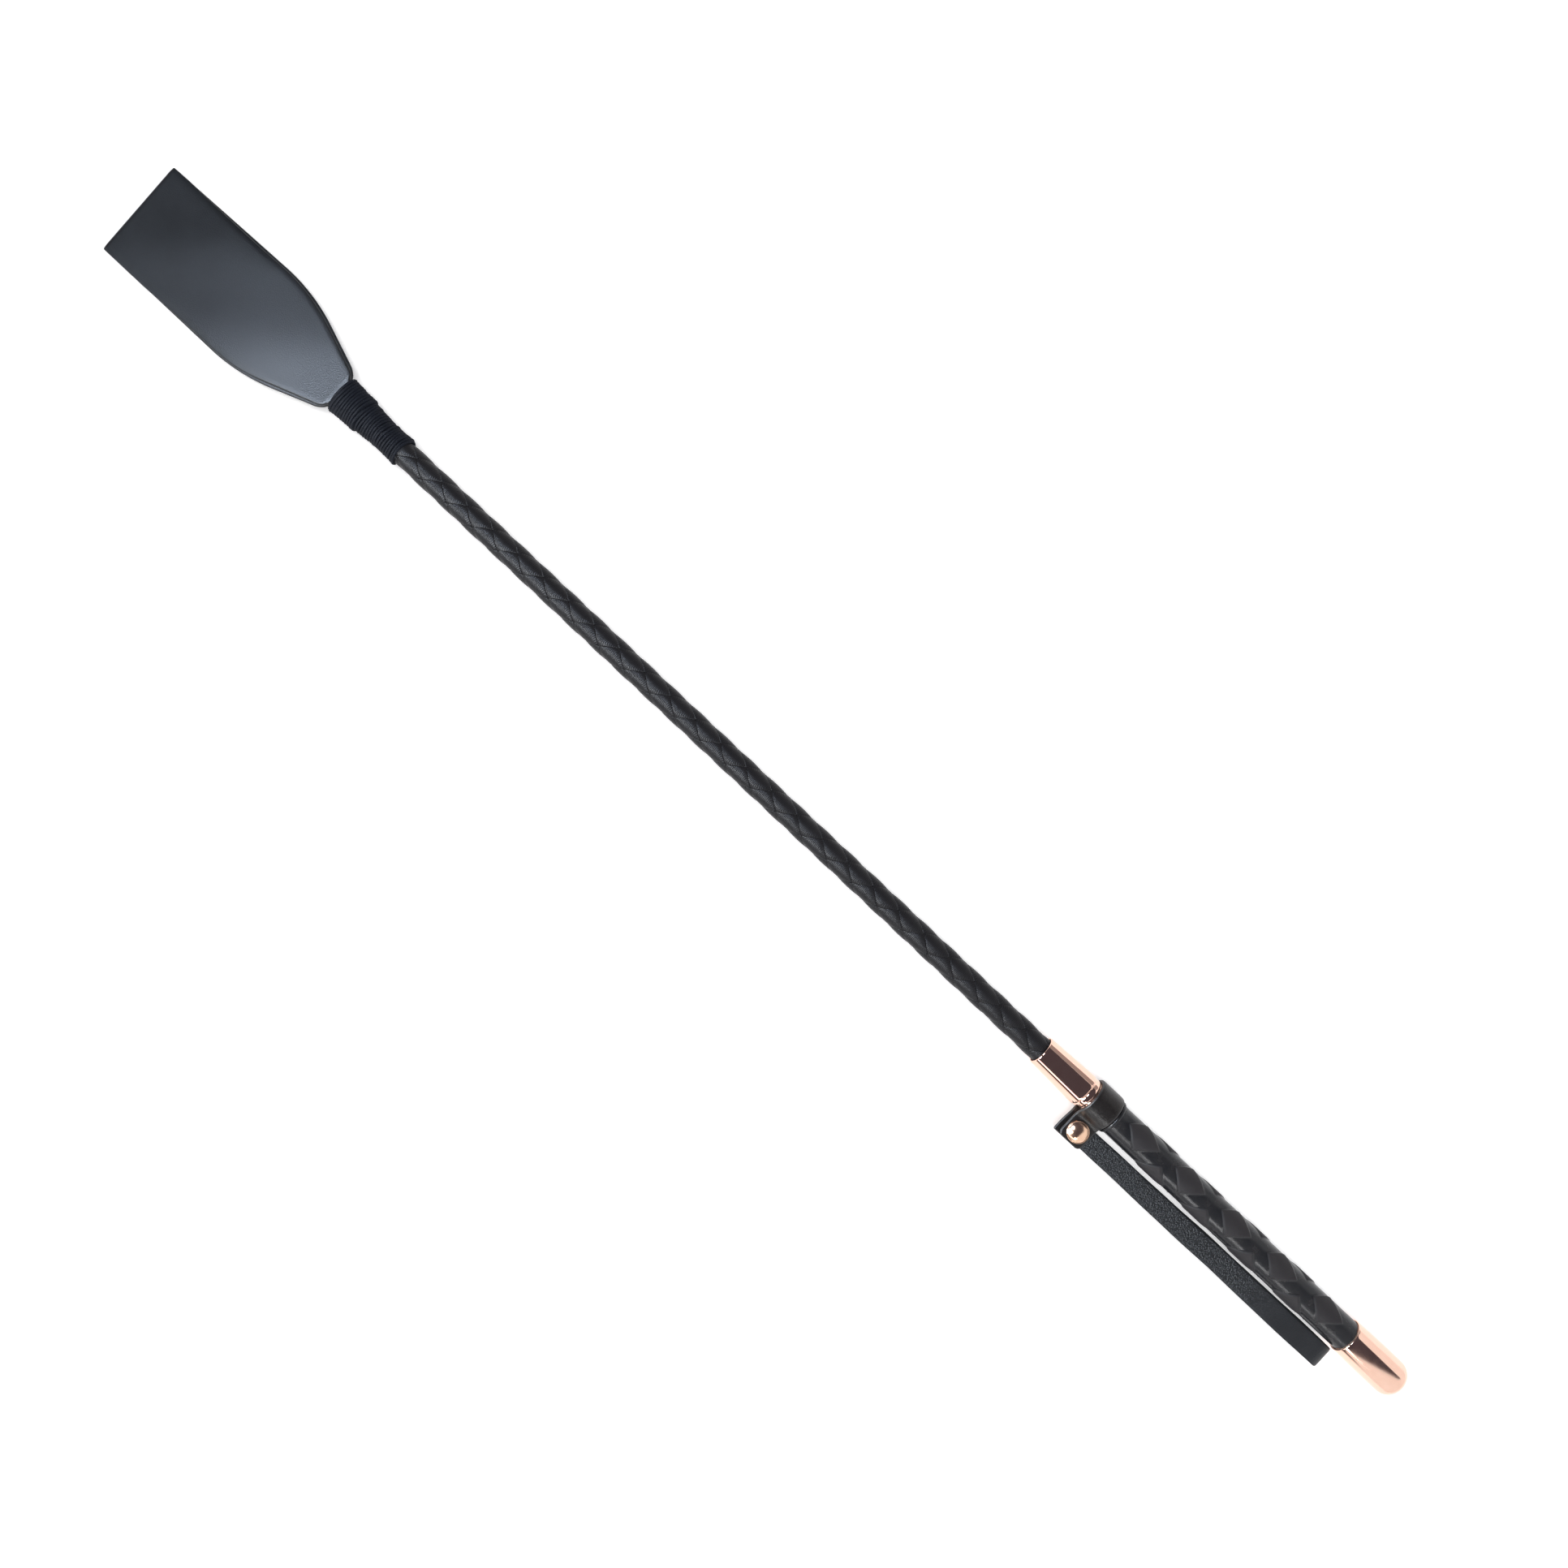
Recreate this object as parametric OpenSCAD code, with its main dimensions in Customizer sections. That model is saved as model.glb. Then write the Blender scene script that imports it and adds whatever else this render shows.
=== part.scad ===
// Riding crop: a folded leather flapper bound to a plaited shaft, a polished ferrule
// and end cap, a moulded grip, and a leather wrist loop riveted to a collar.
// X runs along the crop towards the end cap and Z is up. The origin lies on the
// surface that the crop rests on, under the middle of its length.

/* [Crop] */
// Overall length, from the flapper's tip to the end cap
crop_length = 614; // [600:1:660]
// Height of the shaft's axis above the resting surface
axis_height = 7.45; // [7.45:0.05:8]

/* [Shaft] */
// Diameter over the plaited cover
shaft_d = 9.5; // [9.4:0.1:9.6]
// Diameter of the fibreglass core rod
rod_d = 5; // [4.6:0.1:5]
// Thickness of the plaited cover
plait_wall = 1.1; // [0.9:0.1:1.2]

/* [Flapper] */
// Length of the flapper that shows, from its tip to the whipping
flapper_length = 100.8; // [94:0.2:104]
// Widest part of the flapper
flapper_w = 39.8; // [37:0.1:42]
// Width across the folded tip
flapper_tip_w = 38.6; // [34:0.1:39]
// Thickness of the two leaves together
flapper_t = 3.2; // [3:0.1:3.4]
// Slit between the two leaves
leaf_slit = 0.2; // [0.1:0.05:0.3]
// Angle by which the flapper droops to the resting surface
flapper_droop = 3.35; // [3:0.05:3.35]

/* [Whipping] */
// Length of the bound stretch
whip_length = 31.7; // [30:0.1:34]
// Width of the first layer at the flapper
whip_w = 14.6; // [14.2:0.1:14.8]
// Length of the second layer
whip_over_length = 12.8; // [10:0.2:14]
// Thickness of the thread where it lies on the plait
whip_wall = 0.78; // [0.7:0.02:0.8]

/* [Ferrule] */
// Length of the flared part
ferrule_length = 20.7; // [18:0.1:22]
// Diameter of the flared part at the shaft
ferrule_mouth_d = 11.3; // [11.2:0.1:11.6]
// Diameter of the flared part at its step
ferrule_step_d = 12.8; // [12.6:0.1:13]
// Diameter of the neck that the collar turns on
neck_d = 12; // [11.9:0.1:12.1]
// Length of neck that shows beside the collar
neck_shown = 2.8; // [2:0.1:3.5]

/* [Collar and rivet] */
// Width of the leather collar
collar_w = 10; // [9:0.2:10.4]
// Thickness of the collar's leather
collar_t = 1.4; // [1.2:0.1:1.4]
// Distance from the crop's axis to the rivet
rivet_reach = 12.1; // [12:0.1:12.6]
// Distance from the crop's axis to the end of the tab
tab_reach = 17; // [16.6:0.1:18]
// Diameter of the rivet's caps
rivet_d = 8.2; // [7.6:0.1:8.4]

/* [Wrist loop] */
// Width of the strap
strap_w = 8; // [7.4:0.1:8.2]
// Thickness of the strap
strap_t = 1.3; // [1.2:0.05:1.3]
// Distance from the rivet to the outside of the fold
loop_length = 119.3; // [110:0.1:122]
// Angle between the strap and the crop's axis
strap_toe_in = 0.4; // [0:0.1:0.4]

/* [Grip] */
// Length of the moulded grip
grip_length = 113.4; // [112:0.1:116]
// Diameter of the smooth part of the grip
grip_d = 12; // [11.8:0.1:12.2]
// Height of the raised diamonds
pad_h = 0.35; // [0.2:0.05:0.4]
// Distance from one diamond to the next along the grip
pad_pitch = 22; // [21.6:0.1:22.4]
// Length of a diamond
pad_length = 15.2; // [13:0.1:16]

/* [End cap] */
// Length of the end cap
cap_length = 26.1; // [25:0.1:28]
// Diameter of the cap's straight part
cap_d = 13.9; // [13.6:0.1:14]
// Diameter of the cap where it meets the grip
cap_mouth_d = 13.2; // [13:0.1:13.4]
// Length of the rounded end
cap_dome = 5; // [4:0.1:6]

/* [Hidden] */

$fn = 64;
hull_fn = 32;
leather = "#1d1e22";
thread = "#23283a";
rose_gold = "#e0a98f";
rubber = "#242427";
bare_plastic = "#d8d3c4";

glue_line = 0.03;
running_gap = 0.05;
seam = 0.1;
end_gap = 0.5;
past = 1;
thin = 0.01;

// Stations along X
half_length = crop_length / 2;
whip_x = -half_length + flapper_length;
whip_end_x = whip_x + whip_length;
hinge_x = whip_x - flapper_t / 2;
rod_tip_depth = 3;
rod_tip_x = whip_x + rod_tip_depth;
rod_taper = 15;
tails_length = 23.4;
tails_x = whip_x - 0.9;
tails_end_x = tails_x + tails_length;
cap_x = half_length - cap_length;
grip_x = cap_x - seam - grip_length;
collar_play = 0.3;
collar_x = grip_x - collar_play - collar_w;
step_x = collar_x - neck_shown;
ferrule_x = step_x - ferrule_length;
plait_in_ferrule = 9;
plait_x = tails_end_x + end_gap;
plait_end_x = ferrule_x + plait_in_ferrule;
bush_x = plait_end_x + end_gap;
rod_in_cap = 18;
tube_in_cap = 20;

// Radii of the nested sleeves
rod_r = rod_d / 2;
rod_tip_r = 0.9;
plait_r = shaft_d / 2;
plait_in_r = plait_r - plait_wall;
neck_r = neck_d / 2;
tube_r = 4.5;
neck_wall = 0.45;
bush_r = neck_r - neck_wall;
plug_r = 5.6;
binding_t = 0.3;
binding_length = 6;

// Bound stretch: half widths (Y) and half heights (Z) at the flapper
tails_half = [6.4, flapper_t / 2];
tails_end_half = [4.4, 3.9];
tails_gap = [0.1, 0.1];
whip_half = [whip_w / 2, 3.9];
whip_r = plait_r + whip_wall;
whip_cone = 21;
over_t = [0.6, 0.6];
over_end_t = [0.42, 0.42];
whip_under_end_half = whip_half
    + ([whip_r, whip_r] - whip_half) * whip_over_length / whip_cone;

// Collar: the bend that takes the band out into its tab
band_in_r = neck_r + running_gap;
band_r = band_in_r + collar_t;
strap_gap = 0.04;
strap_stack = strap_t + strap_gap / 2;
tab_in_z = strap_stack + running_gap;
tab_z = tab_in_z + collar_t;
bend_r = 3;
bend_z = tab_z + bend_r;
bend_y = -sqrt(pow(band_r + bend_r, 2) - pow(bend_z, 2));
stem_r = 1.7;
post_r = 1.22;
rivet_x = collar_x + collar_w / 2;
rivet_dome_h = 1.4;
rivet_dome_inset = 0.35;
rivet_rim_h = 0.5;
rivet_rim_round = 0.15;
rivet_seat_z = tab_z + 0.02;

// Wrist loop, in the strap's own plane with the rivet's axis at 0
strap_tail = strap_w / 2;
strap_flat = 7.6;
run_z = (strap_t + strap_gap) / 2;
top_run_z = 2.6;
strap_lift = 0.06;
low_run_z = axis_height - strap_t / 2 - strap_lift;
fold_r = (top_run_z + low_run_z) / 2;
fold_u = loop_length - strap_t / 2 - fold_r;
settle_u = 62;
run_steps = 24;
fold_steps = 18;

// Grip
grip_r = grip_d / 2;
bead_r = 0.75;
pad_half_angle = 62;
first_pad = 12;
pad_columns = [24, 114, 204, 294];
pads_in_column = 5;

// A child whose own Z becomes the crop's X, starting at x
module along_x(x) {
    translate([x, 0, axis_height]) rotate([0, 90, 0]) children();
}

// A plain tube on the crop's axis
module sleeve(from_x, to_x, in_r, out_r) {
    along_x(from_x) difference() {
        cylinder(r = out_r, h = to_x - from_x);
        translate([0, 0, -past]) cylinder(r = in_r, h = to_x - from_x + 2 * past);
    }
}

// A thin oval across the crop's axis: half is its half width and half height
module oval(x, half) {
    along_x(x) scale([half[1], half[0], 1]) cylinder(r = 1, h = thin, $fn = hull_fn);
}

module oval_cone(from_x, from_half, to_x, to_half) {
    hull() {
        oval(from_x, from_half);
        oval(to_x, to_half);
    }
}

// An outline in X and Z, as wide as w across Y
module across_y(w) {
    rotate([90, 0, 0]) linear_extrude(w, center = true) children();
}

// The rod's outline, from its ground tip to its end in the cap, made larger by grow
module rod_shape(grow) {
    along_x(rod_tip_x) cylinder(r1 = rod_tip_r + grow, r2 = rod_r + grow, h = rod_taper);
    along_x(rod_tip_x + rod_taper)
        cylinder(r = rod_r + grow, h = cap_x + rod_in_cap - rod_tip_x - rod_taper);
}

module core_rod() {
    color(bare_plastic) rod_shape(0);
}

module core_padding() {
    color(bare_plastic)
        sleeve(plait_x, plait_end_x, rod_r + glue_line, plait_in_r - glue_line);
}

module plaited_cover() {
    color("#17181b") sleeve(plait_x, plait_end_x, plait_in_r, plait_r);
}

module butt_binding() {
    in_r = plait_r + glue_line;
    color(thread) sleeve(plait_end_x - binding_length, plait_end_x, in_r, in_r + binding_t);
}

// Half outline of the flapper, from the hinge to the tip: straight shoulder,
// then an arc into the side, then a side that tapers to the tip
shoulder_angle = 20;
shoulder_r = 75;
shoulder_steps = 8;
widest_u = -44;
function shoulder_point(a) =
    [widest_u + shoulder_r * sin(a), flapper_w / 2 - shoulder_r * (1 - cos(a))];
arc_start = shoulder_point(shoulder_angle);
tip_u = -(half_length + hinge_x) / cos(flapper_droop);
foot_u = flapper_t / 2 + past;
shoulder_foot = [foot_u, arc_start[1] - (foot_u - arc_start[0]) * tan(shoulder_angle)];
flapper_half_outline = concat(
    [shoulder_foot],
    [for (i = [0 : shoulder_steps]) shoulder_point(shoulder_angle * (1 - i / shoulder_steps))],
    [[tip_u - past, flapper_tip_w / 2]]
);

module flapper_outline() {
    polygon(concat(
        flapper_half_outline,
        [for (i = [len(flapper_half_outline) - 1 : -1 : 0])
            [flapper_half_outline[i][0], -flapper_half_outline[i][1]]]
    ));
}

// The folded strip seen from its edge
module flapper_edge() {
    fold_x = tip_u + flapper_t / 2;
    slit_end_x = -4;
    difference() {
        union() {
            circle(flapper_t / 2);
            translate([fold_x, -flapper_t / 2]) square([-fold_x, flapper_t]);
            translate([fold_x, 0]) circle(flapper_t / 2);
        }
        translate([fold_x, -leaf_slit / 2]) square([slit_end_x - fold_x, leaf_slit]);
    }
}

module flapper() {
    color(leather)
        translate([hinge_x, 0, axis_height]) rotate([0, -flapper_droop, 0]) intersection() {
            across_y(flapper_w + 2 * past) flapper_edge();
            linear_extrude(2 * flapper_t, center = true) flapper_outline();
        }
}

module flapper_tails() {
    hinge_gap = 0.3;
    color(leather) difference() {
        oval_cone(tails_x, tails_half, tails_end_x, tails_end_half);
        rod_shape(glue_line);
        translate([hinge_x, 0, axis_height]) rotate([90, 0, 0])
            cylinder(r = flapper_t / 2 + hinge_gap, h = 2 * whip_w, center = true);
    }
}

module whipping() {
    cone_end_x = whip_x + whip_cone;
    color(thread) difference() {
        union() {
            oval_cone(whip_x, whip_half, cone_end_x, [whip_r, whip_r]);
            along_x(cone_end_x) cylinder(r = whip_r, h = whip_end_x - cone_end_x);
        }
        oval_cone(
            tails_x, tails_half + tails_gap,
            tails_end_x + seam, tails_end_half + tails_gap
        );
        along_x(tails_end_x) cylinder(r = plait_r + glue_line, h = whip_length);
    }
}

module whipping_over() {
    end_x = whip_x + whip_over_length;
    color(thread) difference() {
        oval_cone(
            whip_x + seam, whip_half + over_t,
            end_x, whip_under_end_half + over_end_t
        );
        oval_cone(
            whip_x, whip_half + [glue_line, glue_line],
            whip_x + whip_cone, [whip_r + glue_line, whip_r + glue_line]
        );
    }
}

module ferrule() {
    wall_x = bush_x - ferrule_x;
    step = step_x - ferrule_x;
    end = grip_x - seam - ferrule_x;
    lip = 0.4;
    color(rose_gold) along_x(ferrule_x) difference() {
        rotate_extrude() polygon([
            [0, 0],
            [ferrule_mouth_d / 2 - lip, 0],
            [ferrule_mouth_d / 2, lip],
            [ferrule_step_d / 2, step - lip],
            [ferrule_step_d / 2 - lip, step],
            [neck_r, step],
            [neck_r, end],
            [0, end]
        ]);
        translate([0, 0, -past])
            cylinder(r = plait_r + binding_t + 2 * glue_line, h = wall_x + past);
        translate([0, 0, wall_x - glue_line]) cylinder(r = bush_r, h = end);
    }
}

module ferrule_bush() {
    color(bare_plastic)
        sleeve(bush_x, collar_x + collar_w, tube_r + glue_line, bush_r - glue_line);
}

module handle_tube() {
    color("#b9bcc2") sleeve(bush_x, cap_x + tube_in_cap, rod_r + glue_line, tube_r);
}

// One raised diamond, on the side that faces +Z before it is turned
module pad(x, angle) {
    half_across = (grip_r + pad_h) * sin(pad_half_angle);
    translate([x, 0, axis_height]) rotate([-angle, 0, 0])
        linear_extrude(grip_r + past) polygon([
            [-pad_length / 2, 0], [0, half_across], [pad_length / 2, 0], [0, -half_across]
        ]);
}

module grip() {
    color(rubber) difference() {
        union() {
            along_x(grip_x) cylinder(r = grip_r, h = grip_length);
            along_x(grip_x + bead_r) rotate_extrude() translate([grip_r, 0]) circle(bead_r);
            intersection() {
                along_x(grip_x) cylinder(r = grip_r + pad_h, h = grip_length);
                for (column = [0 : len(pad_columns) - 1]) {
                    odd = column % 2;
                    for (i = [0 : pads_in_column - 1 - odd])
                        pad(grip_x + first_pad + (i + odd / 2) * pad_pitch, pad_columns[column]);
                }
            }
        }
        along_x(grip_x - past) cylinder(r = tube_r + glue_line, h = grip_length + 2 * past);
    }
}

// Outline of the cap's rounded end, from its rim to its tip
dome_steps = 12;
cap_straight = cap_length - cap_dome;
dome_points = [for (i = [0 : dome_steps])
    [cap_d / 2 * cos(90 * i / dome_steps), cap_straight + cap_dome * sin(90 * i / dome_steps)]];

module end_cap() {
    color(rose_gold) along_x(cap_x) difference() {
        rotate_extrude() polygon(concat(
            [[0, 0], [cap_mouth_d / 2, 0], [cap_d / 2, cap_straight / 2]],
            dome_points
        ));
        translate([0, 0, -past]) cylinder(r = plug_r, h = past + tube_in_cap + seam);
    }
}

module cap_plug() {
    color(bare_plastic)
        sleeve(cap_x + seam, cap_x + tube_in_cap, tube_r + glue_line, plug_r - glue_line);
}

// The area between the band, the tab and a bend of radius r. Its slanting side
// runs just under the point where the band and the bend touch.
module under_bend(r) {
    under = 0.97;
    difference() {
        polygon([[0, 0], [bend_y, 0], [bend_y, under * bend_z]]);
        translate([bend_y, bend_z]) circle(r);
    }
}

// A disc that runs out into a straight tongue through a bend on either side
module band_and_tongue(disc_r, tongue_z, r, reach) {
    circle(disc_r);
    translate([-reach, -tongue_z]) square([reach, 2 * tongue_z]);
    under_bend(r);
    mirror([0, 1]) under_bend(r);
}

// The collar's leather lies between two such outlines
module collar_leather() {
    translate([collar_x, 0, axis_height]) rotate([90, 0, 90]) difference() {
        linear_extrude(collar_w) band_and_tongue(band_r, tab_z, bend_r, tab_reach);
        translate([0, 0, -past]) linear_extrude(collar_w + 2 * past)
            band_and_tongue(band_in_r, tab_in_z, bend_r + collar_t, tab_reach + past);
    }
}

// Plan of the collar, with the tab's two outer corners rounded
module collar_plan() {
    corner_r = 2.2;
    translate([collar_x, corner_r - tab_reach])
        square([collar_w, tab_reach - corner_r + band_r + past]);
    translate([collar_x + corner_r, -tab_reach])
        square([collar_w - 2 * corner_r, tab_reach]);
    for (x = [corner_r, collar_w - corner_r])
        translate([collar_x + x, corner_r - tab_reach]) circle(corner_r);
}

module at_rivet() {
    translate([rivet_x, -rivet_reach, axis_height]) children();
}

module wrist_collar() {
    color(leather) difference() {
        intersection() {
            collar_leather();
            linear_extrude(2 * axis_height + past) collar_plan();
        }
        at_rivet() cylinder(r = stem_r + glue_line, h = 4 * tab_z, center = true);
    }
}

// Half section of a rivet's domed disc, standing on its flat side
module rivet_disc() {
    dome_r = rivet_d / 2 - rivet_dome_inset;
    sphere_r = (pow(dome_r, 2) + pow(rivet_dome_h, 2)) / (2 * rivet_dome_h);
    square([rivet_d / 2 - rivet_rim_round, rivet_rim_h]);
    translate([0, rivet_rim_h / 4]) square([rivet_d / 2, rivet_rim_h / 2]);
    intersection() {
        translate([0, rivet_rim_h + rivet_dome_h - sphere_r]) circle(sphere_r);
        translate([0, rivet_rim_h - thin]) square([dome_r, rivet_dome_h + past]);
    }
}

module rivet_cap() {
    color(rose_gold) at_rivet() {
        translate([0, 0, rivet_seat_z]) rotate_extrude() rivet_disc();
        translate([0, 0, -tab_z]) cylinder(r = post_r, h = 2 * tab_z + seam);
    }
}

module rivet_base() {
    color(rose_gold) at_rivet() difference() {
        union() {
            mirror([0, 0, 1]) translate([0, 0, rivet_seat_z]) rotate_extrude() rivet_disc();
            translate([0, 0, -tab_z - seam]) cylinder(r = stem_r, h = 2 * tab_z);
        }
        translate([0, 0, -tab_z - seam / 2])
            cylinder(r = post_r + glue_line, h = 3 * tab_z);
    }
}

// The strap's middle line: both ends flat in the tab, the upper run rising to the
// fold, the lower run settling on the surface
function ease(t) = let (c = min(max(t, 0), 1)) c * c * (3 - 2 * c);
function upper_run(u) =
    [u, run_z + (top_run_z - run_z) * ease((u - strap_flat) / (fold_u - strap_flat))];
function lower_run(u) =
    [u, -run_z - (low_run_z - run_z) * ease((u - strap_flat) / (settle_u - strap_flat))];
function fold_point(a) = [fold_u + fold_r * sin(a), top_run_z - fold_r + fold_r * cos(a)];
function run_u(i) = -strap_tail - past + (fold_u + strap_tail + past) * i / run_steps;
loop_line = concat(
    [for (i = [0 : run_steps]) upper_run(run_u(i))],
    [for (i = [1 : fold_steps - 1]) fold_point(180 * i / fold_steps)],
    [for (i = [run_steps : -1 : 0]) lower_run(run_u(i))]
);

// Points of a strip of thickness t on either side of a line of points
function side_point(line, i, t) =
    let (
        before = line[max(i - 1, 0)],
        after = line[min(i + 1, len(line) - 1)],
        run = after - before
    )
    line[i] + t / 2 * [-run[1], run[0]] / norm(run);

module strip(line, t) {
    polygon(concat(
        [for (i = [0 : len(line) - 1]) side_point(line, i, t)],
        [for (i = [len(line) - 1 : -1 : 0]) side_point(line, i, -t)]
    ));
}

module wrist_strap() {
    fold_extra = 0.3;
    color(leather) at_rivet() rotate([0, 0, strap_toe_in]) difference() {
        intersection() {
            across_y(2 * strap_w) strip(loop_line, strap_t);
            linear_extrude(4 * axis_height, center = true) {
                circle(strap_w / 2);
                polygon([
                    [0, -strap_w / 2],
                    [loop_length + past, -strap_w / 2 - fold_extra],
                    [loop_length + past, strap_w / 2 + fold_extra],
                    [0, strap_w / 2]
                ]);
            }
        }
        cylinder(r = stem_r + running_gap, h = 4 * tab_z, center = true);
    }
}

core_rod();
core_padding();
plaited_cover();
butt_binding();
flapper();
flapper_tails();
whipping();
whipping_over();
ferrule();
ferrule_bush();
handle_tube();
grip();
end_cap();
cap_plug();
wrist_collar();
rivet_cap();
rivet_base();
wrist_strap();
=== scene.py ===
"""A riding crop as it is photographed from above: folded leather flapper, whipped and
plaited shaft, rose-gold ferrule and end cap, moulded grip and a wrist loop.

Lengths are in millimetres up to the point where a mesh is made. The crop lies along X,
and the angle round its axis is 0 on top and grows towards +Y."""

import math

import bmesh
import bpy
import numpy as np
from mathutils import Matrix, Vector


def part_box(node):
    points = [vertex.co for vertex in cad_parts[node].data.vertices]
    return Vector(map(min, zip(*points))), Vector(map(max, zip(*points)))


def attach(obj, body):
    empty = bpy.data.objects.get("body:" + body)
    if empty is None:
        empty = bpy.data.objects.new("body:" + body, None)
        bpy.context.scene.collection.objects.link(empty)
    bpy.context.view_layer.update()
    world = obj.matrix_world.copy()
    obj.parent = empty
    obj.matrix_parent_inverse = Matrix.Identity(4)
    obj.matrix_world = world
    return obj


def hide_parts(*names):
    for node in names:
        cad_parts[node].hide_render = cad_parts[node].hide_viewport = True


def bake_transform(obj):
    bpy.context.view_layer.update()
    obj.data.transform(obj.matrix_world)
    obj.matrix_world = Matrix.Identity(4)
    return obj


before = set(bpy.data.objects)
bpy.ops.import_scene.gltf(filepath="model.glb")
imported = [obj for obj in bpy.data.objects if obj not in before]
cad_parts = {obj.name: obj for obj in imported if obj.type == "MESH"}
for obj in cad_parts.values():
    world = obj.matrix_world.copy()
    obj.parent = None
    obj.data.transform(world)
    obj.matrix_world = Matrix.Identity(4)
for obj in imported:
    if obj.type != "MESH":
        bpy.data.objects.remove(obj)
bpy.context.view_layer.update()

MM = 0.001
TAU = 2 * math.pi


# ---------------------------------------------------------------- places from the CAD


def box_mm(node):
    """Lowest and highest corner of a CAD node, in millimetres."""
    low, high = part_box(node)
    return np.array(low) / MM, np.array(high) / MM


FERRULE = box_mm("ferrule")
GRIP = box_mm("grip")
CAP = box_mm("end_cap")
COLLAR = box_mm("wrist_collar")
RIVET = box_mm("rivet_cap")
PLAIT = box_mm("plaited_cover")
WHIP = box_mm("whipping")
WHIP_OVER = box_mm("whipping_over")
FLAPPER = box_mm("flapper")
TAILS = box_mm("flapper_tails")
AXIS_Z = (FERRULE[0][2] + FERRULE[1][2]) / 2
PLAIT_R = (PLAIT[1][2] - PLAIT[0][2]) / 2


# ---------------------------------------------------------------- mesh helpers


def smooth(t):
    """0 below 0, 1 above 1, and a smooth step between."""
    t = np.clip(t, 0.0, 1.0)
    return t * t * (3 - 2 * t)


def waves(s, seed, size, lengths):
    """A smooth irregular wander of about the given size along s."""
    rng = np.random.default_rng(seed)
    total = np.zeros_like(np.asarray(s, float))
    for length in lengths:
        total = total + np.sin(TAU * s / length + rng.uniform(0, TAU))
    return size * total / math.sqrt(len(lengths))


def grid_quads(rows, columns, closed=True):
    """The quads of a grid of points whose last column joins the first when closed."""
    r = np.arange(rows - 1)[:, None]
    c = np.arange(columns if closed else columns - 1)[None, :]
    n = (c + 1) % columns
    quads = np.stack(
        [r * columns + c, r * columns + n, (r + 1) * columns + n, (r + 1) * columns + c],
        axis=-1,
    )
    return quads.reshape(-1, 4)


def make_piece(name, points, quads, materials, body, slot, stands_for, **extra):
    """A closed mesh from points in millimetres. Extra: skin, a texture place for each
    point in millimetres; share, one number for each point; paint, which quads take the
    second material; rides, False for a piece that is not attached to its body."""
    mesh = bpy.data.meshes.new(name)
    points = np.ascontiguousarray(points.reshape(-1, 3) * MM, np.float32)
    mesh.vertices.add(len(points))
    mesh.vertices.foreach_set("co", points.ravel())
    mesh.loops.add(quads.size)
    mesh.loops.foreach_set("vertex_index", quads.astype(np.int32).ravel())
    mesh.polygons.add(len(quads))
    mesh.polygons.foreach_set("loop_start", np.arange(len(quads), dtype=np.int32) * 4)
    if "paint" in extra:
        index = extra["paint"].astype(np.int32).ravel()
        mesh.polygons.foreach_set("material_index", index)
    mesh.update(calc_edges=True)
    if "skin" in extra:
        skin = np.ascontiguousarray(extra["skin"].reshape(-1, 3) * MM, np.float32)
        place = mesh.attributes.new("skin", "FLOAT_VECTOR", "POINT")
        place.data.foreach_set("vector", skin.ravel())
    if "share" in extra:
        share = mesh.attributes.new("share", "FLOAT", "POINT")
        share.data.foreach_set("value", extra["share"].astype(np.float32).ravel())
    work = bmesh.new()
    work.from_mesh(mesh)
    bmesh.ops.remove_doubles(work, verts=work.verts, dist=2e-7)
    bmesh.ops.dissolve_degenerate(work, edges=work.edges, dist=1e-8)
    bmesh.ops.recalc_face_normals(work, faces=work.faces)
    for face in work.faces:
        face.smooth = True
    work.to_mesh(mesh)
    work.free()
    for material in materials:
        mesh.materials.append(material)
    piece = bpy.data.objects.new(name, mesh)
    bpy.context.scene.collection.objects.link(piece)
    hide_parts(*stands_for)
    if extra.get("rides", True):
        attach(piece, body)
    return piece


def lathe(profile, centre=(0.0, 0.0), facets=160):
    """Points of a profile (x, r) turned round the line through centre (y, z) along X."""
    profile = np.array(profile, float)
    angle = TAU * np.arange(facets) / facets
    points = np.empty((len(profile), facets, 3))
    points[..., 0] = profile[:, :1]
    points[..., 1] = centre[0] + profile[:, 1:] * np.sin(angle)
    points[..., 2] = centre[1] + profile[:, 1:] * np.cos(angle)
    return points, grid_quads(len(profile), facets)


def arc(centre, radii, start, stop, steps):
    """Points of an elliptical arc in a profile. Angles are in degrees from +x to +r."""
    angles = np.radians(np.linspace(start, stop, steps + 1))
    return [
        (centre[0] + radii[0] * math.cos(a), centre[1] + radii[1] * math.sin(a))
        for a in angles
    ]


def along(path, stations):
    """Places and directions of a path in a plane at distances along it."""
    path = np.array(path, float)
    step = np.linalg.norm(np.diff(path, axis=0), axis=1)
    run = np.concatenate([[0], np.cumsum(step)])
    place = np.stack([np.interp(stations, run, path[:, k]) for k in (0, 1)], axis=1)
    # directions come from points a little before and after, so that corners are soft
    reach = 0.12
    ahead = np.stack(
        [np.interp(stations + reach, run, path[:, k]) for k in (0, 1)], axis=1
    )
    behind = np.stack(
        [np.interp(stations - reach, run, path[:, k]) for k in (0, 1)], axis=1
    )
    direction = ahead - behind
    direction /= np.linalg.norm(direction, axis=1, keepdims=True)
    return place, direction


def path_length(path):
    return float(np.linalg.norm(np.diff(np.array(path, float), axis=0), axis=1).sum())


def stations_for(length, step, edge):
    """Distances along a strip, closer together where its two ends are rounded."""
    ends = edge * (1 - np.cos(np.linspace(0, math.pi / 2, 6)))
    middle = np.arange(edge + step, length - edge, step)
    return np.concatenate([ends, middle, length - ends[::-1]])


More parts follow.
